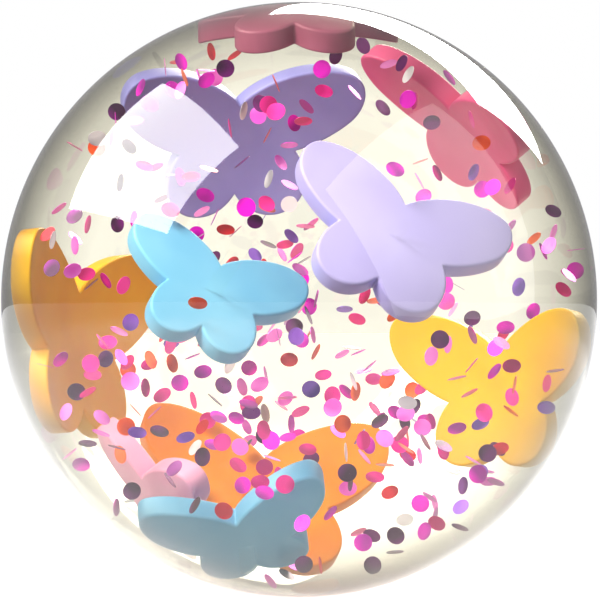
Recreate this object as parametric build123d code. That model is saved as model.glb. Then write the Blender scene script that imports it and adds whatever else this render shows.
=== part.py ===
from build123d import *
import math
import os
import random

# Clear inflatable beach ball with soft foam butterflies fixed inside it and loose round confetti.
# Millimetres, +Z up, origin at the middle of the ball. -Y is the side that is seen from the front.

# ---- ball ----
BALL_RADIUS = 165.0        # outside of the clear film, inflated
FILM = 0.35                # thickness of the clear film
SEAM_WIDTH = 4.0           # welded seam between the front and back halves
SEAM_HEIGHT = 0.65         # how far the seam stands out of the film
SEAM_GAP = 0.01            # between the film and the bead that sits on it
CLEARANCE = 0.3            # between the film and what lies against it
INNER_RADIUS = BALL_RADIUS - FILM

# ---- butterflies ----
FOAM = 12.0                # thickness of the foam
FOAM_LIMIT = INNER_RADIUS - CLEARANCE
TAB_WIDTH = 9.0            # clear film tab that holds a butterfly to the wall
TAB_THICK = 0.4
TAB_GAP = 0.05
BOW_ROOM = 0.8             # depth cut for a bowed slab, in parts of span squared over bow

# Right half of a butterfly's outline, for a span of 1, as cubic curves from the notch between
# the fore wings, round the fore wing, round the hind wing, to the notch between the hind wings.
WING_CURVES = [
    [(0.0, 0.19), (0.06, 0.28), (0.28, 0.40), (0.43, 0.36)],
    [(0.43, 0.36), (0.52, 0.335), (0.52, 0.20), (0.45, 0.12)],
    [(0.45, 0.12), (0.40, 0.06), (0.32, 0.0), (0.245, -0.025)],
    [(0.245, -0.025), (0.30, -0.09), (0.32, -0.22), (0.235, -0.28)],
    [(0.235, -0.28), (0.17, -0.33), (0.06, -0.32), (0.0, -0.218)],
]

# Butterfly that follows the wall: heading of the spot it lies on (turn from the front, rise),
# roll of the wings in degrees, and span.
WALL_BUTTERFLIES = {
    "rose_top": (-2, 72, 0, 110),
}

# Butterflies that stand across the ball and are held off the wall by their tabs: place of the
# middle of the outer face (x, y, z), heading (turn, rise), roll, span and the radius of their bow.
CROSS_BUTTERFLIES = {
    "pink_upper": (101, 25, 97, 113, 38, -26, 132, 420),
    "yellow_right": (119, 28, -56, 142, -7, 2, 128, 160),
    "yellow_left": (-136, 34, -28, -113, -5, -6, 162, 285),
    "lilac_upper": (-39, 87, 96, -166, 29, 3, 142, 210),
    "lilac_front": (48, -136, 32, 17, 29, 27, 118, 400),
    "blue_front": (-44, -127, 4, 23, 30, 26, 98, 400),
    "orange_lower": (-22, 66, -122, -162, -37, -8, 148, 340),
    "blue_lower": (-28, -61, -132, 8, -50, -22, 102, 200),
    "pink_lower": (-82, -10, -112, -62, -34, 20, 92, 250),
}

# ---- valve, in its own frame: z runs outward through the film, 0 at the film's outer face ----
VALVE_TURN = 155.5         # heading of the valve on the back half
VALVE_RISE = 11.5
HOLE_RADIUS = 11.0         # hole in the film
FLANGE_RADIUS = 16.0       # welded to the inside of the film
FLANGE_THICK = 0.8
FLANGE_TOP = -1.25
COLLAR_INNER = 9.2
COLLAR_OUTER = 10.7
COLLAR_TOP = 0.2
STEM_TOP = 0.2
STEM_LENGTH = 17.0
STEM_RADIUS = 5.4
LIP_RADIUS = 6.4
LIP_THICK = 1.2
SEAT_RADIUS = 3.8          # bore that the stopper closes
SEAT_DEPTH = 6.0
THROAT_RADIUS = 2.6        # bore that a pump's nozzle goes into
WEB_THICK = 0.5            # flexible ring that lets the stem sink and pop out
WEB_DROP = 8.5
WEB_GAP = 0.1              # between the web and the flange and stem it is welded to
WEB_UNDERLAP = 1.0         # how far the web runs under the collar
WEB_FOOT = 1.3             # height of the web's rim round the stem
CAP_RADIUS = 5.6
CAP_THICK = 1.3
CAP_LIFT = 0.3             # gap between the stopper's cap and the stem's lip
PLUG_TOP_RADIUS = 3.4
PLUG_TIP_RADIUS = 2.3
PLUG_LENGTH = 4.3
HINGE_OUT = 7.2            # stopper's hinge from the stem's axis
HINGE_UP = 1.0             # and above the stem's lip
HINGE_PIN_RADIUS = 0.5
HINGE_EYE_RADIUS = 1.1     # ears of the stem
STOPPER_EYE_RADIUS = 1.045 # eye of the stopper between them
HINGE_PLAY = 0.06
HINGE_WIDTH = 3.0
EAR_WIDTH = 1.2
EAR_GAP = 0.3
SHELF_THICK = 0.6          # shelf that carries the ears
SHELF_DROP = 0.9           # middle of the shelf under the stem's lip
SEAT_OVERCUT = 1.0         # how far the seat's cut runs past the lip
ARM_OVERLAP = 1.0          # how far the stopper's arm runs into its cap
TAB_GRIP_WIDTH = 4.0       # finger tab of the stopper
TAB_GRIP_LENGTH = 2.6
TAB_GRIP_OUT = 0.6         # middle of the finger tab beyond the cap's edge
FLAP_RADIUS = 4.6
FLAP_THICK = 0.6
FLAP_GAP = 0.3

# ---- confetti ----
FLAKE_RADIUS = 4.9
FLAKE_THICK = 0.2
FLAKE_SPACING = 10.4       # least distance between the middles of two flakes
FLAKE_WALL = 6.0           # flakes keep this far from the film
NEAR_WALL = 0.5            # share of the flakes that cling close to the film
NEAR_WALL_DEPTH = 0.86     # and how far out those start
SPARE_BACK = 0.3           # share of the places behind the seam that is left empty
SPARE_TOP = 0.2            # share of the places in the upper half that is left empty
VALVE_ROOM = 36.0          # and this far from the valve
FLAKE_ROOM = 1.0           # flakes keep this far from the foam and the tabs
DEPTH_POWER = 0.42         # spreads the other flakes from the middle to the wall
KEEP_OUT_WIDTH = 0.58      # half width of the oval kept clear round a butterfly, for a span of 1
KEEP_OUT_HEIGHT = 0.44     # its half height
KEEP_OUT_RISE = 0.03       # and its middle above the butterfly's origin
FLAKE_COLOURS = {
    "magenta": 128,
    "hot_pink": 92,
    "pale_pink": 64,
    "plum": 76,
    "red": 28,
    "orange": 30,
    "violet": 30,
    "silver": 20,
}
SEED = 33


def heading(turn, rise):
    """Unit vector that points out of the ball, turned about Z from -Y and raised."""
    t, r = math.radians(turn), math.radians(rise)
    return Vector(math.sin(t) * math.cos(r), -math.cos(t) * math.cos(r), math.sin(r))


def facing_plane(at, turn, rise, roll):
    """Plane at a point, its z pointing along the heading and its y up, rolled about z."""
    t, r, s = math.radians(turn), math.radians(rise), math.radians(roll)
    out = heading(turn, rise)
    up = Vector(-math.sin(t) * math.sin(r), math.cos(t) * math.sin(r), math.cos(r))
    across = up.cross(out)
    x_dir = across * math.cos(s) - up * math.sin(s)
    return Plane(origin=at, x_dir=x_dir, z_dir=out)


def ball_of(radius):
    """Solid ball about the origin, its poles on Y."""
    return Rot(90, 0, 0) * Sphere(radius)


# ---- ball ----
def half_shell(side):
    """Half of the film, in front of (side -1) or behind (side +1) the seam."""
    box = Pos(0, side * BALL_RADIUS, 0) * Box(4 * BALL_RADIUS, 2 * BALL_RADIUS, 4 * BALL_RADIUS)
    return (ball_of(BALL_RADIUS) - ball_of(INNER_RADIUS)) & box


def seam_bead():
    """Flattened bead where the two halves are welded, right round the ball in the plane y = 0."""
    inner = BALL_RADIUS + SEAM_GAP
    crown = ThreePointArc(
        (inner, -SEAM_WIDTH / 2),
        (BALL_RADIUS + SEAM_HEIGHT, 0),
        (inner, SEAM_WIDTH / 2),
    )
    foot = Line((inner, SEAM_WIDTH / 2), (inner, -SEAM_WIDTH / 2))
    return revolve(make_face([crown, foot]), axis=Axis.Y)


# ---- butterflies ----
def wing_face(span):
    """Flat outline of a butterfly, in the XY plane, wings up."""
    right = [Bezier(*[(span * u, span * v) for u, v in curve]) for curve in WING_CURVES]
    left = [edge.mirror(Plane.YZ) for edge in right]
    return make_face(right + left)


def bowed_slab(span, bow):
    """Foam butterfly whose outer face is a piece of a sphere of radius bow, touching z = 0."""
    depth = FOAM + BOW_ROOM * span * span / bow
    prism = extrude(wing_face(span), amount=depth, both=True)
    outer = Pos(0, 0, -bow) * ball_of(bow)
    inner = Pos(0, 0, -bow) * ball_of(bow - FOAM)
    return prism & (outer - inner)


def butterfly_places():
    """Each butterfly's plane, span and bow, by name."""
    places = {}
    for name, (turn, rise, roll, span) in WALL_BUTTERFLIES.items():
        at = heading(turn, rise) * FOAM_LIMIT
        places[name] = (facing_plane(at, turn, rise, roll), span, FOAM_LIMIT)
    for name, (x, y, z, turn, rise, roll, span, bow) in CROSS_BUTTERFLIES.items():
        places[name] = (facing_plane((x, y, z), turn, rise, roll), span, bow)
    return places


def wall_distance(plane):
    """How far the film's inner face is from the plane's origin, along its z."""
    out, at = plane.z_dir, plane.origin
    along = at.dot(out)
    return math.sqrt(along * along - at.dot(at) + INNER_RADIUS * INNER_RADIUS) - along


def holding_tab(plane):
    """Clear tab from the middle of a butterfly's outer face to the wall."""
    reach = wall_distance(plane) + TAB_WIDTH
    blade = Pos(0, 0, TAB_GAP + reach / 2) * Box(TAB_WIDTH, TAB_THICK, reach)
    return (plane.location * blade) & ball_of(INNER_RADIUS - TAB_GAP)


# ---- valve ----
def ring(outer, inner, low, high):
    """Upright tube between two heights."""
    height = high - low
    middle = Pos(0, 0, (low + high) / 2)
    return middle * (Cylinder(outer, height) - Cylinder(inner, 2 * height))


def valve_plane():
    """The valve's frame: z outward through the film, y up, origin on the film's outer face."""
    return facing_plane(heading(VALVE_TURN, VALVE_RISE) * BALL_RADIUS, VALVE_TURN, VALVE_RISE, 0)


def valve_base():
    """Flange inside the film with a collar that comes up through the hole."""
    flange = ring(FLANGE_RADIUS, COLLAR_INNER, FLANGE_TOP - FLANGE_THICK, FLANGE_TOP)
    collar = ring(COLLAR_OUTER, COLLAR_INNER, FLANGE_TOP - FLANGE_THICK, COLLAR_TOP)
    return flange + collar


def valve_web():
    """Flexible cone between the collar's foot and the stem, folded inward while the stem is sunk."""
    top = FLANGE_TOP - FLANGE_THICK - WEB_GAP
    low = top - WEB_DROP
    stem_side = STEM_RADIUS + WEB_GAP
    collar_side = COLLAR_INNER + WEB_UNDERLAP
    profile = Polyline(
        (stem_side, low),
        (stem_side, low + WEB_FOOT),
        (collar_side - WEB_THICK, top),
        (collar_side, top),
        (collar_side, top - WEB_THICK),
        (stem_side + WEB_THICK, low),
        close=True,
    )
    face = Plane.XZ * make_face(profile)
    return revolve(face, axis=Axis.Z)


def hinge_axis_height():
    """Height of the stopper's hinge above the film's outer face."""
    return STEM_TOP + HINGE_UP


def hinge_ears():
    """Two ears on the stem's lip that carry the hinge pin, with the pin between them."""
    height = hinge_axis_height()
    offset = HINGE_WIDTH / 2 + EAR_GAP + EAR_WIDTH / 2
    ears = []
    for side in (-1, 1):
        foot_height = height - STEM_TOP + LIP_THICK
        foot = Pos(side * offset, HINGE_OUT, STEM_TOP - LIP_THICK + foot_height / 2)
        eye = Pos(side * offset, HINGE_OUT, height) * Rot(0, 90, 0)
        ears.append(foot * Box(EAR_WIDTH, 2 * HINGE_EYE_RADIUS, foot_height))
        ears.append(eye * Cylinder(HINGE_EYE_RADIUS, EAR_WIDTH))
    pin_length = HINGE_WIDTH + 2 * EAR_GAP + EAR_WIDTH
    pin = Pos(0, HINGE_OUT, height) * Rot(0, 90, 0) * Cylinder(HINGE_PIN_RADIUS, pin_length)
    shelf_width = 2 * (offset + EAR_WIDTH / 2)
    shelf_length = HINGE_OUT + HINGE_EYE_RADIUS - STEM_RADIUS
    shelf = Pos(0, STEM_RADIUS + shelf_length / 2, STEM_TOP - SHELF_DROP)
    return ears + [pin, shelf * Box(shelf_width, shelf_length, SHELF_THICK)]


def valve_stem():
    """Tube with a lip, a wide bore for the stopper and a narrow throat for a pump's nozzle."""
    bottom = STEM_TOP - STEM_LENGTH
    body = ring(STEM_RADIUS, THROAT_RADIUS, bottom, STEM_TOP)
    lip = ring(LIP_RADIUS, THROAT_RADIUS, STEM_TOP - LIP_THICK, STEM_TOP)
    solid = body + lip
    for piece in hinge_ears():
        solid = solid + piece
    seat_height = SEAT_DEPTH + SEAT_OVERCUT
    seat = Pos(0, 0, STEM_TOP - SEAT_DEPTH + seat_height / 2) * Cylinder(SEAT_RADIUS, seat_height)
    return solid - seat


def valve_stopper():
    """Cap with a tapered plug under it, a hinge eye at one side and a finger tab at the other."""
    low = STEM_TOP + CAP_LIFT
    height = hinge_axis_height()
    cap = Pos(0, 0, low + CAP_THICK / 2) * Cylinder(CAP_RADIUS, CAP_THICK)
    plug = Pos(0, 0, low - PLUG_LENGTH / 2) * Cone(PLUG_TIP_RADIUS, PLUG_TOP_RADIUS, PLUG_LENGTH)
    arm_length = HINGE_OUT - CAP_RADIUS + ARM_OVERLAP
    arm = Pos(0, HINGE_OUT - arm_length / 2, low + CAP_THICK / 2) * Box(HINGE_WIDTH, arm_length, CAP_THICK)
    eye = Pos(0, HINGE_OUT, height) * Rot(0, 90, 0) * Cylinder(STOPPER_EYE_RADIUS, HINGE_WIDTH)
    grip = Box(TAB_GRIP_WIDTH, TAB_GRIP_LENGTH, CAP_THICK)
    tab = Pos(0, -CAP_RADIUS - TAB_GRIP_OUT, low + CAP_THICK / 2) * grip
    hole = HINGE_PIN_RADIUS + HINGE_PLAY
    bore = Pos(0, HINGE_OUT, height) * Rot(0, 90, 0) * Cylinder(hole, 3 * HINGE_WIDTH)
    return cap + plug + arm + eye + tab - bore


def check_flap():
    """Thin round flap that hangs just under the stem and lets air in only."""
    bottom = STEM_TOP - STEM_LENGTH - FLAP_GAP
    return Pos(0, 0, bottom - FLAP_THICK / 2) * Cylinder(FLAP_RADIUS, FLAP_THICK)


# ---- confetti ----
def clear_of_butterflies(point, places):
    """True where a flake at this point keeps off every butterfly and its tab."""
    reach = FLAKE_RADIUS + FLAKE_ROOM
    for plane, span, bow in places.values():
        p = plane.to_local_coords(point)
        across = p.X / (KEEP_OUT_WIDTH * span + reach)
        along = (p.Y - KEEP_OUT_RISE * span) / (KEEP_OUT_HEIGHT * span + reach)
        face = math.sqrt(max(bow * bow - p.X * p.X - p.Y * p.Y, 0.0)) - bow
        beside = across * across + along * along < 1
        if beside and face - FOAM - reach < p.Z < face + reach:
            return False
        near_tab = abs(p.X) < TAB_WIDTH / 2 + reach and abs(p.Y) < reach
        if near_tab and p.Z > 0:
            return False
    return True


def flake_points(count, places):
    """Seeded places for the flakes: denser near the wall and low down, spaced apart."""
    rng = random.Random(SEED)
    valve_at = valve_plane().origin
    points = []
    while len(points) < count:
        turn = rng.uniform(0, 360)
        rise = math.degrees(math.asin(rng.uniform(-1, 1)))
        depth = rng.random() ** DEPTH_POWER
        if rng.random() < NEAR_WALL:
            depth = rng.uniform(NEAR_WALL_DEPTH, 1.0)
        point = heading(turn, rise) * ((INNER_RADIUS - FLAKE_WALL) * depth)
        if point.Z > 0 and rng.random() < SPARE_TOP:
            continue
        if point.Y > 0 and rng.random() < SPARE_BACK:
            continue
        if (point - valve_at).length < VALVE_ROOM:
            continue
        if not clear_of_butterflies(point, places):
            continue
        if any((point - other).length < FLAKE_SPACING for other in points):
            continue
        points.append(point)
    return points


def flakes(places):
    """Thin round flakes by colour, tumbled at random."""
    rng = random.Random(SEED + 1)
    points = flake_points(sum(FLAKE_COLOURS.values()), places)
    rng.shuffle(points)
    groups = {}
    for colour, count in FLAKE_COLOURS.items():
        groups[colour] = []
        for _ in range(count):
            turn = rng.uniform(0, 360)
            rise = math.degrees(math.asin(rng.uniform(-1, 1)))
            plane = facing_plane(points.pop(), turn, rise, 0)
            groups[colour].append(plane.location * Cylinder(FLAKE_RADIUS, FLAKE_THICK))
    return groups


# ---- writing ----
def write(name, shape):
    """Write one sub-part."""
    export_step(shape, f"parts/{name}.step")
    print(name)


def main():
    os.makedirs("parts", exist_ok=True)
    valve = valve_plane().location
    hole = valve * Cylinder(HOLE_RADIUS, 12 * FILM)
    write("film_front", half_shell(-1))
    write("film_back", half_shell(1) - hole)
    write("seam_bead", seam_bead())

    places = butterfly_places()
    for name, (plane, span, bow) in places.items():
        write(f"butterfly_{name}", plane.location * bowed_slab(span, bow))
        write(f"tab_{name}", holding_tab(plane))

    write("valve_base", valve * valve_base())
    write("valve_web", valve * valve_web())
    write("valve_stem", valve * valve_stem())
    write("valve_stopper", valve * valve_stopper())
    write("valve_check_flap", valve * check_flap())

    for colour, discs in flakes(places).items():
        write(f"confetti_{colour}", Compound(children=discs))


main()
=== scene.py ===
"""Clear inflatable beach ball with foam butterflies, loose foil confetti and an air valve.

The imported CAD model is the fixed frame. The film, the foam butterflies and the valve's flexible
web are rebuilt here as smooth surfaces, and the other CAD nodes are dressed where they are.
Metres, +Z up, the origin at the middle of the ball, -Y towards the camera.
"""

import logging
import math
from dataclasses import dataclass
from enum import Enum

import bpy
import numpy as np
from mathutils import Matrix, Vector


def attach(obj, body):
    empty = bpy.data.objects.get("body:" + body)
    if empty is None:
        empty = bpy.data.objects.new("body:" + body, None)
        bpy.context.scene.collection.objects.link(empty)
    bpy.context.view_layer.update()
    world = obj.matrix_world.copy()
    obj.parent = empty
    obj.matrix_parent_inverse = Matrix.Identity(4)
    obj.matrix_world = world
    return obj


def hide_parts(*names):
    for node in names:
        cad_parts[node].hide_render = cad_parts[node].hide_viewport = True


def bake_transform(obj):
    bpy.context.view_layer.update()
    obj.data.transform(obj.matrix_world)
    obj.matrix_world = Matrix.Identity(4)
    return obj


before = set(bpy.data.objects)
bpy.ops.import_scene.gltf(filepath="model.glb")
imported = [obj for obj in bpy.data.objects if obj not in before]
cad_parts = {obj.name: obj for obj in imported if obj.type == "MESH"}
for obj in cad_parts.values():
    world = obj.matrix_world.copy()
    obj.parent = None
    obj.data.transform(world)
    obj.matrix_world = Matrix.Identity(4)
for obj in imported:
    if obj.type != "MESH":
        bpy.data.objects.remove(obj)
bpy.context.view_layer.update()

MM = 0.001
BALL_RADIUS = 165.0 * MM
FOAM_BOW_MM = 164.35
VALVE_TURN = 155.5
VALVE_RISE = 11.5
PVC_IOR = 1.53
log = logging.getLogger("beach_ball")

Array = np.ndarray
Colour = tuple[float, float, float, float]


# ---------------------------------------------------------------- small helpers
def linear(hex_colour: str, alpha: float = 1.0) -> Colour:
    """Turn an sRGB hex colour into the linear colour that a shader socket takes.

    Args:
        hex_colour: six hex digits, red first.
        alpha: fourth value of the result.

    Returns:
        Linear red, green and blue, then alpha.
    """
    parts = [int(hex_colour[i:i + 2], 16) / 255 for i in (0, 2, 4)]
    low = [c / 12.92 if c <= 0.04045 else ((c + 0.055) / 1.055) ** 2.4 for c in parts]
    return low[0], low[1], low[2], alpha


def add_node(tree: bpy.types.NodeTree, kind: str, inputs: dict | None = None,
             links: dict | None = None, **settings: object) -> bpy.types.Node:
    """Add one node with its settings, socket values and incoming links.

    Args:
        tree: node tree that gets the node.
        kind: Blender's type name of the node.
        inputs: value of each unlinked socket, by name or number.
        links: output socket that feeds each input, by name or number.
        settings: the node's own properties.

    Returns:
        The new node.
    """
    node = tree.nodes.new(kind)
    for key, value in settings.items():
        setattr(node, key, value)
    for socket, value in (inputs or {}).items():
        node.inputs[socket].default_value = value
    for socket, source in (links or {}).items():
        tree.links.new(source, node.inputs[socket])
    return node


def set_stops(ramp: bpy.types.Node, stops: list[tuple[float, Colour]]) -> None:
    """Give a colour ramp its stops, first to last.

    Args:
        ramp: Color Ramp node.
        stops: position and linear colour of each stop.
    """
    elements = ramp.color_ramp.elements
    while len(elements) < len(stops):
        elements.new(1.0)
    for element, (position, colour) in zip(elements, stops):
        element.position = position
        element.color = colour


def blank_material(name: str) -> bpy.types.Material:
    """Return a new node material with an empty tree."""
    material = bpy.data.materials.new(name)
    material.use_nodes = True
    material.node_tree.nodes.clear()
    return material


def ring_faces(rings: int, around: int, first: int = 0) -> Array:
    """Quads between closed rings of points, each ring following the last.

    Args:
        rings: number of rings.
        around: points in a ring.
        first: index of the first ring's first point.

    Returns:
        One row of four indices for each quad.
    """
    row, step = np.meshgrid(np.arange(rings - 1), np.arange(around), indexing="ij")
    here, there = row * around + step, row * around + (step + 1) % around
    quads = np.stack([here, there, there + around, here + around], axis=-1)
    return quads.reshape(-1, 4) + first


def fan_faces(ring_start: int, around: int, tip: int, outward: bool) -> Array:
    """Triangles from a closed ring to one point.

    Args:
        ring_start: index of the ring's first point.
        around: points in the ring.
        tip: index of the point.
        outward: True where the ring runs the other way about the tip.

    Returns:
        One row of three indices for each triangle.
    """
    step = np.arange(around)
    here, there = ring_start + step, ring_start + (step + 1) % around
    pair = (there, here) if outward else (here, there)
    return np.stack([*pair, np.full(around, tip)], axis=-1)


def make_piece(name: str, points: Array, faces: list[Array]) -> bpy.types.Object:
    """Put arrays of points and faces into a smooth mesh object at the origin.

    Args:
        name: name of the piece.
        points: one row of x, y and z in metres for each vertex.
        faces: arrays of indices, one array for each number of corners.

    Returns:
        The new object.
    """
    mesh = bpy.data.meshes.new(name)
    polygons = [row for block in faces for row in block.tolist()]
    mesh.from_pydata(points.tolist(), [], polygons)
    mesh.polygons.foreach_set("use_smooth", np.ones(len(polygons), dtype=bool))
    mesh.update()
    piece = bpy.data.objects.new(name, mesh)
    bpy.context.scene.collection.objects.link(piece)
    return piece


def dress(piece: bpy.types.Object, material: bpy.types.Material) -> None:
    """Put one material on the whole of a piece."""
    if piece.material_slots:
        for slot in piece.material_slots:
            slot.material = material
    else:
        piece.data.materials.append(material)


# ---------------------------------------------------------------- places
@dataclass(frozen=True)
class Place:
    """A spot and its own axes, z pointing out of the ball at rest."""

    origin: Array
    x_dir: Array
    y_dir: Array
    z_dir: Array

    @classmethod
    def facing(cls, at: Array | None, turn: float, rise: float, roll: float,
               radius: float = 0.0) -> "Place":
        """Axes whose z is a heading: turned about Z from -Y, then raised; y is up, then rolled.

        Args:
            at: the spot in metres, or None for the point of the heading at the radius.
            turn: degrees about Z from -Y, positive towards +X.
            rise: degrees above the level.
            roll: degrees by which x and y turn about z.
            radius: distance of the spot from the middle when at is None.

        Returns:
            The place.
        """
        t, r, s = (math.radians(angle) for angle in (turn, rise, roll))
        out = np.array([math.sin(t) * math.cos(r), -math.cos(t) * math.cos(r), math.sin(r)])
        up = np.array([-math.sin(t) * math.sin(r), math.cos(t) * math.sin(r), math.cos(r)])
        across = np.cross(up, out)
        x_dir = across * math.cos(s) - up * math.sin(s)
        y_dir = across * math.sin(s) + up * math.cos(s)
        return cls(out * radius if at is None else np.asarray(at, float), x_dir, y_dir, out)

    def put(self, local: Array) -> Array:
        """Rows of local x, y and z as rows of the ball's x, y and z."""
        axes = np.stack([self.x_dir, self.y_dir, self.z_dir])
        return self.origin + local @ axes


# ---------------------------------------------------------------- finishes
@dataclass(frozen=True)
class ClearVinyl:
    """Plasticised PVC film, calendered clear and held tight by the air inside.

    To the eye it is a colourless gloss that mirrors lamps as hard-edged shapes. Near the ball's
    edge its see-through colour turns grey-beige, partly from the film's own absorption along a
    grazing sight line and partly as painted shade for the darker surroundings mirrored there, with
    a painted light line at the very edge for the mirrored white backdrop.
    """

    name: str = "clear_pvc_film_calendered"
    middle: str = "FFFDF3"
    shoulder: str = "E4E2D7"
    # rim: grey-beige near the edge, partly the film's own grazing absorption and partly painted
    # shade for darker surroundings mirrored there; the last colour is a painted reflection of the
    # white backdrop
    rim: str = "ABA99D"
    painted_reflection_fringe: str = "ECECE8"
    facing_gloss: float = 0.045
    roughness: float = 0.035
    ripple: float = 0.05
    ripple_mm: float = 55.0

    def build(self) -> bpy.types.Material:
        """Mix of a tinted see-through film and a mirror gloss, by how steeply it is seen; near the
        edge the see-through colour carries painted shade and a painted light edge line.

        Returns:
            The material.
        """
        material = blank_material(self.name)
        tree = material.node_tree
        place = add_node(tree, "ShaderNodeTexCoord")
        ripple = add_node(tree, "ShaderNodeTexNoise",
                          {"Scale": 1 / (self.ripple_mm * MM), "Detail": 1.0},
                          {"Vector": place.outputs["Object"]})
        bump = add_node(tree, "ShaderNodeBump", {"Strength": self.ripple, "Distance": 1 * MM},
                        {"Height": ripple.outputs["Fac"]})
        slope = add_node(tree, "ShaderNodeLayerWeight", {"Blend": 0.5})
        steep = add_node(tree, "ShaderNodeMath", {1: 5.0},
                         {0: slope.outputs["Facing"]}, operation="POWER")
        share = add_node(tree, "ShaderNodeMath",
                         {1: 1 - self.facing_gloss, 2: self.facing_gloss},
                         {0: steep.outputs[0]}, operation="MULTIPLY_ADD")
        tint_with_painted_rim = add_node(tree, "ShaderNodeValToRGB", None, {0: slope.outputs["Facing"]})
        # Painted shade and painted reflection: the see-through colour darkens towards the ball's
        # edge, partly for real absorption and partly for darker surroundings mirrored there, then
        # lightens at the very edge for the mirrored white backdrop.
        set_stops(tint_with_painted_rim, [(0.30, linear(self.middle)), (0.56, linear(self.shoulder)),
                         (0.80, linear(self.rim)), (0.94, linear(self.rim)),
                         (1.0, linear(self.painted_reflection_fringe))])
        clear = add_node(tree, "ShaderNodeBsdfTransparent", None,
                         {"Color": tint_with_painted_rim.outputs["Color"]})
        gloss = add_node(tree, "ShaderNodeBsdfGlossy",
                         {"Roughness": self.roughness, "Color": (1, 1, 1, 1)},
                         {"Normal": bump.outputs["Normal"]})
        film = add_node(tree, "ShaderNodeMixShader", None,
                        {0: share.outputs[0], 1: clear.outputs[0], 2: gloss.outputs[0]})
        add_node(tree, "ShaderNodeOutputMaterial", None, {"Surface": film.outputs[0]})
        return material


@dataclass(frozen=True)
class WeldedSeam:
    """PVC film pressed and fused by a heated ring into one clear bead.

    To the eye it is a pale, slightly cloudy line round the ball with fine cross marks.
    """

    name: str = "pvc_seam_heat_welded"
    colour: str = "EDEDE4"
    alpha: float = 0.4
    roughness: float = 0.22
    rib_mm: float = 1.5
    cloud_mm: float = 9.0

    def build(self) -> bpy.types.Material:
        """Half-clear plastic with ribs across the bead, one to each rib pitch round the ball.

        Returns:
            The material.
        """
        material = blank_material(self.name)
        tree = material.node_tree
        place = add_node(tree, "ShaderNodeTexCoord")
        parts = add_node(tree, "ShaderNodeSeparateXYZ", None, {0: place.outputs["Object"]})
        angle = add_node(tree, "ShaderNodeMath", None,
                         {0: parts.outputs["X"], 1: parts.outputs["Z"]}, operation="ARCTAN2")
        ribs = 2 * math.pi * BALL_RADIUS / (self.rib_mm * MM)
        turned = add_node(tree, "ShaderNodeMath", {1: round(ribs)}, {0: angle.outputs[0]},
                          operation="MULTIPLY")
        wave = add_node(tree, "ShaderNodeMath", None, {0: turned.outputs[0]}, operation="SINE")
        bump = add_node(tree, "ShaderNodeBump", {"Strength": 0.5, "Distance": 0.2 * MM},
                        {"Height": wave.outputs[0]})
        cloud = add_node(tree, "ShaderNodeTexNoise",
                         {"Scale": 1 / (self.cloud_mm * MM), "Detail": 3.0},
                         {"Vector": place.outputs["Object"]})
        tone = add_node(tree, "ShaderNodeValToRGB", None, {0: cloud.outputs["Fac"]})
        set_stops(tone, [(0.3, linear("DAD9CE")), (0.7, linear(self.colour))])
        plastic = add_node(tree, "ShaderNodeBsdfPrincipled",
                           {"Roughness": self.roughness, "IOR": PVC_IOR, "Alpha": self.alpha},
                           {"Base Color": tone.outputs["Color"], "Normal": bump.outputs["Normal"]})
        add_node(tree, "ShaderNodeOutputMaterial", None, {"Surface": plastic.outputs[0]})
        return material


@dataclass(frozen=True)
class MouldedFoam:
    """Closed-cell EVA foam, die cut and skinned in a warm mould.

    To the eye it is an even soft colour with a satin skin, very fine pores and a faint cloudiness.
    """

    colour_name: str
    light: str
    dark: str
    roughness: float = 0.42
    pore_mm: float = 1.2
    cloud_mm: float = 38.0
    skin_mm: float = 7.0

    def build(self) -> bpy.types.Material:
        """Satin plastic with pores as bump and a slow drift between two close colours.

        Returns:
            The material.
        """
        material = blank_material(f"eva_foam_moulded_{self.colour_name}")
        tree = material.node_tree
        place = add_node(tree, "ShaderNodeTexCoord")
        cloud = add_node(tree, "ShaderNodeTexNoise",
                         {"Scale": 1 / (self.cloud_mm * MM), "Detail": 2.0},
                         {"Vector": place.outputs["Object"]})
        tone = add_node(tree, "ShaderNodeValToRGB", None, {0: cloud.outputs["Fac"]})
        set_stops(tone, [(0.35, linear(self.dark)), (0.65, linear(self.light))])
        pores = add_node(tree, "ShaderNodeTexVoronoi",
                         {"Scale": 1 / (self.pore_mm * MM), "Randomness": 1.0},
                         {"Vector": place.outputs["Object"]})
        skin = add_node(tree, "ShaderNodeTexNoise",
                        {"Scale": 1 / (self.skin_mm * MM), "Detail": 2.0},
                        {"Vector": place.outputs["Object"]})
        fine = add_node(tree, "ShaderNodeBump", {"Strength": 0.12, "Distance": 0.15 * MM},
                        {"Height": pores.outputs["Distance"]})
        broad = add_node(tree, "ShaderNodeBump", {"Strength": 0.10, "Distance": 0.6 * MM},
                         {"Height": skin.outputs["Fac"], "Normal": fine.outputs["Normal"]})
        gloss = add_node(tree, "ShaderNodeMapRange",
                         {"To Min": self.roughness - 0.05, "To Max": self.roughness + 0.08},
                         {"Value": skin.outputs["Fac"]})
        foam = add_node(tree, "ShaderNodeBsdfPrincipled",
                        {"IOR": 1.45, "Specular IOR Level": 0.35},
                        {"Base Color": tone.outputs["Color"], "Roughness": gloss.outputs[0],
                         "Normal": broad.outputs["Normal"]})
        add_node(tree, "ShaderNodeOutputMaterial", None, {"Surface": foam.outputs[0]})
        return material


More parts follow.
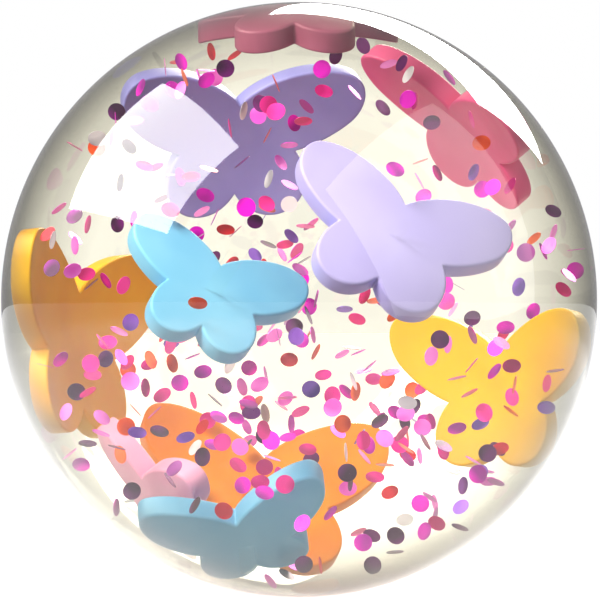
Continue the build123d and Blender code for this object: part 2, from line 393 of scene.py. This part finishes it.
@dataclass(frozen=True)
class PunchedFoil:
    """Metallised polyester film, lacquered in colour and punched into round flakes.

    To the eye it is a bright coloured mirror that goes pale or dark as each flake turns.
    """

    colour_name: str
    light: str
    dark: str
    metallic: float = 0.4
    roughness: float = 0.3
    patch_mm: float = 13.0
    crease_mm: float = 5.0

    def build(self) -> bpy.types.Material:
        """Coloured metal whose tone changes from flake to flake and creases slightly.

        Returns:
            The material.
        """
        material = blank_material(f"metallised_polyester_{self.colour_name}")
        tree = material.node_tree
        place = add_node(tree, "ShaderNodeTexCoord")
        patch = add_node(tree, "ShaderNodeTexNoise",
                         {"Scale": 1 / (self.patch_mm * MM), "Detail": 0.0},
                         {"Vector": place.outputs["Object"]})
        tone = add_node(tree, "ShaderNodeValToRGB", None, {0: patch.outputs["Fac"]})
        set_stops(tone, [(0.36, linear(self.dark)), (0.60, linear(self.light))])
        crease = add_node(tree, "ShaderNodeTexNoise",
                          {"Scale": 1 / (self.crease_mm * MM), "Detail": 1.0},
                          {"Vector": place.outputs["Object"]})
        bump = add_node(tree, "ShaderNodeBump", {"Strength": 0.25, "Distance": 0.4 * MM},
                        {"Height": crease.outputs["Fac"]})
        foil = add_node(tree, "ShaderNodeBsdfPrincipled",
                        {"Metallic": self.metallic, "Roughness": self.roughness,
                         "Specular IOR Level": 0.4},
                        {"Base Color": tone.outputs["Color"], "Normal": bump.outputs["Normal"]})
        add_node(tree, "ShaderNodeOutputMaterial", None, {"Surface": foil.outputs[0]})
        return material


@dataclass(frozen=True)
class MilkyVinyl:
    """Soft PVC, injection moulded with little clearing agent.

    To the eye it is a milky, slightly blue white with a satin gloss and faint flow marks.
    """

    name: str = "soft_pvc_injection_moulded"
    light: str = "F0F3F2"
    dark: str = "D6DEDF"
    roughness: float = 0.3
    flow_mm: float = 3.0
    alpha: float = 0.86

    def build(self) -> bpy.types.Material:
        """Satin plastic that lets a little light through, with fine flow marks.

        Returns:
            The material.
        """
        material = blank_material(self.name)
        tree = material.node_tree
        place = add_node(tree, "ShaderNodeTexCoord")
        flow = add_node(tree, "ShaderNodeTexNoise",
                        {"Scale": 1 / (self.flow_mm * MM), "Detail": 2.0, "Distortion": 0.8},
                        {"Vector": place.outputs["Object"]})
        tone = add_node(tree, "ShaderNodeValToRGB", None, {0: flow.outputs["Fac"]})
        set_stops(tone, [(0.3, linear(self.dark)), (0.7, linear(self.light))])
        bump = add_node(tree, "ShaderNodeBump", {"Strength": 0.15, "Distance": 0.1 * MM},
                        {"Height": flow.outputs["Fac"]})
        vinyl = add_node(tree, "ShaderNodeBsdfPrincipled",
                         {"Roughness": self.roughness, "IOR": PVC_IOR, "Alpha": self.alpha},
                         {"Base Color": tone.outputs["Color"], "Normal": bump.outputs["Normal"]})
        add_node(tree, "ShaderNodeOutputMaterial", None, {"Surface": vinyl.outputs[0]})
        return material


class Foam(Enum):
    """Foam colours, each with its light and dark tone. Two are darker copies that stand in for
    painted shade: one of lilac and one of pink.
    """

    LILAC = ("lilac", "BDB4F4", "B3A9EE")
    # painted shade: lilac darkened for a butterfly that sits in shade, not a deeper foam colour
    SHADED_LILAC = ("lilac_painted_shade", "A09EE4", "9491DC")
    BLUE = ("blue", "80C4EA", "72B9E4")
    PINK = ("pink", "FF70A6", "F6609A")
    # painted shade: pink darkened to a dull mauve for a butterfly seen from its unlit underside
    ROSE = ("rose", "B0607F", "A05570")
    YELLOW = ("yellow", "FFD000", "FFC600")
    GOLD = ("gold", "FFC400", "F6AE00")
    ORANGE = ("orange", "FFA000", "FF9200")
    PALE_PINK = ("pale_pink", "F7B0D0", "F0A4C6")


class Foil(Enum):
    """Foil colours by the name of the confetti node, each with its light and dark tone."""

    MAGENTA = ("magenta", "F600DC", "A0009C")
    HOT_PINK = ("hot_pink", "FA2FA8", "C80C78")
    PALE_PINK = ("pale_pink", "FF84EE", "E650CC")
    PLUM = ("plum", "6E0A70", "360436")
    RED = ("red", "F01838", "B00828")
    ORANGE = ("orange", "FF6214", "CC3404")
    VIOLET = ("violet", "9258D6", "5C2C9C")
    SILVER = ("silver", "F0EEF6", "A9A6B4")


# ---------------------------------------------------------------- ball
@dataclass
class FilmShell:
    """The two clear film halves, the welded seam between them, and the tabs inside."""

    radius: float = BALL_RADIUS
    valve_turn: float = VALVE_TURN
    valve_rise: float = VALVE_RISE
    valve_hole: float = 11.0 * MM
    around: int = 224
    rows: int = 96

    def dome(self, name: str, pole: Array, hole: float) -> bpy.types.Object:
        """Half of the ball on one side of the plane y = 0, from a hole about a pole to the seam.

        A point is cos(a) times the pole plus sin(a) times a unit vector square to the pole. The
        vector turns all the way round, and a goes from the hole's angle to the angle where that
        great circle meets the plane y = 0.

        Args:
            name: name of the piece.
            pole: unit vector to the middle of the hole, or of the grid where there is no hole.
            hole: radius of the hole in metres, 0 for none.

        Returns:
            The film half, facing outwards.
        """
        side = np.cross(pole, (0.0, 0.0, 1.0))
        side /= np.linalg.norm(side)
        up = np.cross(side, pole)
        turn = np.linspace(0, 2 * math.pi, self.around, endpoint=False)
        across = np.cos(turn)[:, None] * side + np.sin(turn)[:, None] * up
        edge = np.arctan2(abs(pole[1]), -across[:, 1] * math.copysign(1.0, pole[1]))
        first = math.asin(hole / self.radius) if hole else 0.0
        share = np.linspace(0, 1, self.rows)[:, None]
        if not hole:
            share = np.linspace(1 / self.rows, 1, self.rows)[:, None]
        a = (first + share * (edge - first))[..., None]
        points = self.radius * (np.cos(a) * pole + np.sin(a) * across)
        points = points.reshape(-1, 3)
        faces = [ring_faces(self.rows, self.around)]
        if not hole:
            points = np.vstack([points, self.radius * pole])
            faces.append(fan_faces(0, self.around, len(points) - 1, outward=True))
        piece = make_piece(name, points, faces)
        middle = piece.data.polygons[len(piece.data.polygons) // 2]
        if middle.normal.dot(middle.center) < 0:
            piece.data.flip_normals()
        return piece

    def build(self) -> list[bpy.types.Object]:
        """Both film halves, dressed, and the CAD seam and tabs dressed.

        Returns:
            The pieces.
        """
        film = ClearVinyl().build()
        seam = WeldedSeam().build()
        tab = ClearVinyl(name="clear_pvc_tab_cut", middle="FFFFFE", shoulder="FEFEFD",
                         rim="FDFDFC", painted_reflection_fringe="FDFDFC", facing_gloss=0.012, ripple=0.02,
                         ripple_mm=20.0).build()
        front = self.dome("film_front_skin", np.array([0.0, -1.0, 0.0]), 0.0)
        valve_dir = Place.facing(None, self.valve_turn, self.valve_rise, 0, 1.0).z_dir
        back = self.dome("film_back_skin", valve_dir, self.valve_hole)
        for piece, node in ((front, "film_front"), (back, "film_back")):
            dress(piece, film)
            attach(piece, "ball")
            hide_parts(node)
        dress(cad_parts["seam_bead"], seam)
        tabs = [node for name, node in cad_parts.items() if name.startswith("tab_")]
        for node in tabs:
            dress(node, tab)
        return [front, back]


# ---------------------------------------------------------------- butterflies
@dataclass
class Butterfly:
    """One foam butterfly: its colour, place, span and the radius of its bow."""

    name: str
    foam: Foam
    turn: float
    rise: float
    roll: float
    span_mm: float
    at_mm: tuple[float, float, float] | None = None
    bow_mm: float = FOAM_BOW_MM
    slot: str = ""
    thickness: float = 12.0 * MM
    round_edge: float = 1.5 * MM
    steps: int = 22
    face_rings: int = 22
    edge_rings: int = 6

    WING_CURVES = np.array([
        [(0.0, 0.19), (0.06, 0.28), (0.28, 0.40), (0.43, 0.36)],
        [(0.43, 0.36), (0.52, 0.335), (0.52, 0.20), (0.45, 0.12)],
        [(0.45, 0.12), (0.40, 0.06), (0.32, 0.0), (0.245, -0.025)],
        [(0.245, -0.025), (0.30, -0.09), (0.32, -0.22), (0.235, -0.28)],
        [(0.235, -0.28), (0.17, -0.33), (0.06, -0.32), (0.0, -0.218)],
    ])
    HEART = np.array([0.0, 0.03])
    RING_CROWDING = 0.8

    def outline(self) -> Array:
        """Closed outline for a span of 1: cubic curves down the right side, mirrored up the left.

        Returns:
            Rows of u and v, clockwise as seen from outside.
        """
        t = np.linspace(0, 1, self.steps, endpoint=False)[None, :, None]
        a, b, c, d = (self.WING_CURVES[:, k, None, :] for k in range(4))
        curve = (1 - t) ** 3 * a + 3 * (1 - t) ** 2 * t * b + 3 * (1 - t) * t * t * c + t ** 3 * d
        right = curve.reshape(-1, 2)
        tail = self.WING_CURVES[-1, -1][None]
        left = right[:0:-1] * (-1, 1)
        return np.vstack([right, tail, left])

    def inset(self, outline: Array, depth: float) -> Array:
        """Outline moved inwards along its own normal, the mean of its two edges' normals.

        Args:
            outline: rows of u and v in metres, clockwise.
            depth: how far inwards, in metres.

        Returns:
            The moved outline.
        """
        ahead = np.roll(outline, -1, axis=0) - np.roll(outline, 1, axis=0)
        ahead /= np.linalg.norm(ahead, axis=1)[:, None]
        inward = np.stack([ahead[:, 1], -ahead[:, 0]], axis=1)
        return outline + inward * depth

    def build(self) -> bpy.types.Object:
        """Foam slab between two spheres with the same middle, its rim rounded on both faces.

        Rings of points run from the heart of the outer face to its rim, round the rounded edge,
        down the side, round the other edge and back to the heart of the inner face. A point's
        height is the sphere's height over its u and v, less the edge's drop.

        Returns:
            The dressed butterfly.
        """
        span, bow = self.span_mm * MM, self.bow_mm * MM
        outline = self.outline() * span
        heart = self.HEART * span
        around = len(outline)
        arc = np.linspace(0, math.pi / 2, self.edge_rings)
        insets = self.round_edge * (1 - np.sin(arc))
        drops = self.round_edge * (1 - np.cos(arc))
        rim = np.stack([self.inset(outline, depth) for depth in insets])
        share = np.linspace(1 / self.face_rings, 1, self.face_rings)[:-1] ** self.RING_CROWDING
        face = heart + share[:, None, None] * (rim[0] - heart)
        uv = np.concatenate([face, rim])
        drop = np.concatenate([np.zeros(len(face)), drops])[:, None]
        reach = (uv ** 2).sum(-1)
        high = np.sqrt(bow ** 2 - reach) - bow - drop
        low = np.sqrt((bow - self.thickness) ** 2 - reach) - bow + drop
        top = np.concatenate([uv, high[..., None]], axis=-1)
        under = np.concatenate([uv, low[..., None]], axis=-1)[::-1]
        rings = np.concatenate([top, under])
        poles = [(*heart, math.sqrt(bow ** 2 - heart @ heart) - bow),
                 (*heart, math.sqrt((bow - self.thickness) ** 2 - heart @ heart) - bow)]
        local = np.vstack([rings.reshape(-1, 3), poles])
        count = len(rings)
        faces = [ring_faces(count, around),
                 fan_faces(0, around, count * around, outward=True),
                 fan_faces((count - 1) * around, around, count * around + 1, outward=False)]
        at = None if self.at_mm is None else np.array(self.at_mm) * MM
        place = Place.facing(at, self.turn, self.rise, self.roll, self.bow_mm * MM)
        piece = make_piece(f"foam_{self.name}", place.put(local), faces)
        if piece.data.polygons[0].normal.dot(place.z_dir) < 0:
            piece.data.flip_normals()
        dress(piece, MouldedFoam(*self.foam.value).build())
        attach(piece, "ball")
        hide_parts(f"butterfly_{self.name}")
        return piece


@dataclass
class ButterflySet:
    """The ten butterflies: one that follows the film and nine that stand across the ball."""

    def members(self) -> list[Butterfly]:
        """Every butterfly with its colour and place."""
        return [
            # pink foam darkened to mauve as painted shade
            Butterfly("rose_top", Foam.ROSE, -2, 72, 0, 110),
            Butterfly("pink_upper", Foam.PINK, 113, 38, -26, 132, (101, 25, 97), 420),
            Butterfly("yellow_right", Foam.YELLOW, 142, -7, 2, 128, (119, 28, -56), 160),
            Butterfly("yellow_left", Foam.GOLD, -113, -5, -6, 162, (-136, 34, -28), 285),
            # lilac foam darkened as painted shade
            Butterfly("lilac_upper", Foam.SHADED_LILAC, -166, 29, 3, 142, (-39, 87, 96), 210),
            Butterfly("lilac_front", Foam.LILAC, 17, 29, 27, 118, (48, -136, 32), 400),
            Butterfly("blue_front", Foam.BLUE, 23, 30, 26, 98, (-44, -127, 4), 400),
            Butterfly("orange_lower", Foam.ORANGE, -162, -37, -8, 148, (-22, 66, -122), 340),
            Butterfly("blue_lower", Foam.BLUE, 8, -50, -22, 102, (-28, -61, -132), 200),
            Butterfly("pink_lower", Foam.PALE_PINK, -62, -34, 20, 92, (-82, -10, -112), 250,
                      slot="foam_lightpink"),
        ]

    def build(self) -> list[bpy.types.Object]:
        """Build every butterfly and return the pieces."""
        return [member.build() for member in self.members()]


# ---------------------------------------------------------------- confetti
@dataclass
class Confetti:
    """Loose round foil flakes, one CAD node for each colour."""

    def build(self) -> list[bpy.types.Object]:
        """Dress each colour's flakes in its foil and return them."""
        made = []
        for foil in Foil:
            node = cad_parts[f"confetti_{foil.value[0]}"]
            dress(node, PunchedFoil(*foil.value).build())
            made.append(node)
        return made


# ---------------------------------------------------------------- valve
@dataclass
class Valve:
    """Air valve on the back half: base, sinking stem, stopper, check flap and flexible web."""

    turn: float = VALVE_TURN
    rise: float = VALVE_RISE
    film_radius: float = BALL_RADIUS
    web_top_mm: float = -2.15
    web_low_mm: float = -10.65
    stem_side_mm: float = 5.5
    collar_side_mm: float = 10.2
    wall_mm: float = 0.5
    profile_steps: int = 24
    around: int = 96

    def web(self) -> bpy.types.Object:
        """Ring of flexible vinyl, a closed profile carried round the valve's axis.

        The profile runs down the outside in a soft S from the collar to the stem, along the
        stem, and back up the inside one wall thickness away. A point is the profile's radius
        times the cosine and sine of the turn, at the profile's height.

        Returns:
            The web.
        """
        t = np.linspace(0, 1, self.profile_steps)
        fall = 0.5 - 0.5 * np.cos(math.pi * t)
        radius = self.collar_side_mm + (self.stem_side_mm - self.collar_side_mm) * t
        height = self.web_top_mm + (self.web_low_mm - self.web_top_mm) * fall
        inner = np.stack([radius, height], axis=1)
        slope = np.gradient(inner, axis=0)
        slope /= np.linalg.norm(slope, axis=1)[:, None]
        normal = np.stack([slope[:, 1], -slope[:, 0]], axis=1)
        outer = inner - normal * self.wall_mm
        outer[:, 0] = np.clip(outer[:, 0], self.stem_side_mm, self.collar_side_mm)
        outer[:, 1] = np.clip(outer[:, 1], self.web_low_mm - self.wall_mm, self.web_top_mm)
        profile = np.vstack([inner, outer[::-1]]) * MM
        turn = np.linspace(0, 2 * math.pi, self.around, endpoint=False)
        x = profile[:, :1] * np.cos(turn)
        y = profile[:, :1] * np.sin(turn)
        z = np.repeat(profile[:, 1:], self.around, axis=1)
        local = np.stack([x, y, z], axis=-1).reshape(-1, 3)
        rows = len(profile)
        faces = ring_faces(rows, self.around)
        step = np.arange(self.around)
        after = (step + 1) % self.around
        last = (rows - 1) * self.around
        closing = np.stack([last + step, last + after, after, step], axis=1)
        place = Place.facing(None, self.turn, self.rise, 0, self.film_radius)
        return make_piece("valve_web_skin", place.put(local), [faces, closing])

    def build(self) -> list[bpy.types.Object]:
        """Build the web and dress the valve's CAD nodes.

        Returns:
            The pieces.
        """
        vinyl = MilkyVinyl().build()
        nodes = [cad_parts[name] for name in
                 ("valve_base", "valve_stem", "valve_stopper", "valve_check_flap")]
        for node in nodes:
            dress(node, vinyl)
        web = self.web()
        dress(web, MilkyVinyl(name="soft_pvc_web_moulded", dark="CCD6D8").build())
        place = Place.facing(None, self.turn, self.rise, 0, self.film_radius)
        start = place.put(np.array([[0, 0, self.web_top_mm * MM]]))[0]
        end = place.put(np.array([[0, 0, self.web_low_mm * MM]]))[0]
        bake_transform(web)
        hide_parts("valve_web")
        return [*nodes, web]


# ---------------------------------------------------------------- studio
@dataclass(frozen=True)
class Lamp:
    """Rectangular softbox, shown in gloss where mirrored, or else lighting matt surfaces.

    Its direction is from the ball, its distance and its width and height are in metres, its power
    is in watts, and it turns about its own axis by its spin, in degrees.
    """

    name: str
    toward: tuple[float, float, float]
    distance: float
    size: tuple[float, float]
    watts: float
    mirrored: bool
    spin: float = 0.0


LAMPS = (
    Lamp("key_light", (-0.62, -0.70, 0.70), 1.4, (0.7, 0.7), 34.0, False),
    Lamp("back_light", (0.5, 0.8, 0.6), 1.5, (1.2, 1.2), 10.0, False),
    Lamp("softbox_left", (-0.714, -0.173, 0.679), 1.2, (1.15, 0.85), 40.0, True),
    Lamp("softbox_right", (0.784, -0.452, 0.426), 1.4, (1.9, 1.8), 24.0, True, spin=12.0),
    Lamp("strip_back", (0.339, 0.744, 0.576), 1.6, (1.3, 0.6), 60.0, True),
)


@dataclass
class Studio:
    """Pale floor, white surround, softboxes and the camera."""

    distance: float = 1.5
    ball_radius: float = BALL_RADIUS
    fill: float = 0.9933
    floor_z: float = -0.16565
    floor_gap: float = 0.0002
    floor_half: float = 12.0
    floor_glow: float = 0.72
    ambient: float = 0.44
    camera_x: float = 0.0005

    def floor(self) -> None:
        """Plain pale floor under the ball, staged, which throws no light up on matt surfaces."""
        size, height = self.floor_half, self.floor_z - self.floor_gap
        corners = np.array([(-size, -size, height), (size, -size, height),
                            (size, size, height), (-size, size, height)])
        floor = make_piece("floor", corners, [np.array([[0, 1, 2, 3]])])
        material = blank_material("matt_white_floor_paint")
        tree = material.node_tree
        paint = add_node(tree, "ShaderNodeBsdfPrincipled",
                         {"Base Color": linear("F4F3EF"), "Roughness": 0.9,
                          "Emission Color": linear("FFFFFF"),
                          "Emission Strength": self.floor_glow})
        add_node(tree, "ShaderNodeOutputMaterial", None, {"Surface": paint.outputs[0]})
        dress(floor, material)
        floor.visible_diffuse = False

    def surround(self) -> None:
        """White surround, brighter to the eye than as a source of light."""
        world = bpy.data.worlds.new("white_surround")
        world.use_nodes = True
        tree = world.node_tree
        tree.nodes.clear()
        ray = add_node(tree, "ShaderNodeLightPath")
        seen = add_node(tree, "ShaderNodeBackground",
                        {"Color": linear("FFFFFF"), "Strength": 1.0})
        ambient = add_node(tree, "ShaderNodeBackground",
                           {"Color": linear("F2F1F6"), "Strength": self.ambient})
        mix = add_node(tree, "ShaderNodeMixShader", None,
                       {0: ray.outputs["Is Camera Ray"], 1: ambient.outputs[0],
                        2: seen.outputs[0]})
        add_node(tree, "ShaderNodeOutputWorld", None, {"Surface": mix.outputs[0]})
        bpy.context.scene.world = world

    def hang(self, lamp: Lamp) -> None:
        """Hang one softbox so that it looks at the ball.

        Args:
            lamp: the softbox.
        """
        data = bpy.data.lights.new(lamp.name, "AREA")
        data.shape = "RECTANGLE"
        data.size, data.size_y = lamp.size
        data.energy = lamp.watts
        light = bpy.data.objects.new(lamp.name, data)
        bpy.context.scene.collection.objects.link(light)
        away = Vector(lamp.toward).normalized()
        turned = away.to_track_quat("Z", "Y").to_matrix() @ Matrix.Rotation(
            math.radians(lamp.spin), 3, "Z")
        light.matrix_world = Matrix.Translation(away * lamp.distance) @ turned.to_4x4()
        light.visible_glossy = lamp.mirrored
        light.visible_diffuse = not lamp.mirrored
        light.visible_camera = False

    def camera(self) -> None:
        """Long lens level with the ball's middle, the ball filling the frame."""
        data = bpy.data.cameras.new("camera")
        sight = math.tan(math.asin(self.ball_radius / self.distance)) / self.fill
        data.lens = data.sensor_width / 2 / sight
        data.clip_start, data.clip_end = 0.01, 100.0
        camera = bpy.data.objects.new("camera", data)
        camera.location = (self.camera_x, -self.distance, 0.0)
        camera.rotation_euler = (math.radians(90), 0, 0)
        bpy.context.scene.collection.objects.link(camera)
        bpy.context.scene.camera = camera

    def build(self) -> None:
        """Set up the floor, surround, lamps and camera."""
        bpy.context.scene.view_settings.view_transform = "Standard"
        self.floor()
        self.surround()
        self.camera()
        for lamp in LAMPS:
            self.hang(lamp)


def main() -> None:
    """Build every sub-assembly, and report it."""
    for part in (FilmShell(), ButterflySet(), Confetti(), Valve()):
        for piece in part.build():
            log.info("%s: %s", type(part).__name__, piece.name)
    Studio().build()
    log.info("studio is ready")


if __name__ == "__main__":
    logging.basicConfig(level=logging.INFO, format="%(message)s")
    main()
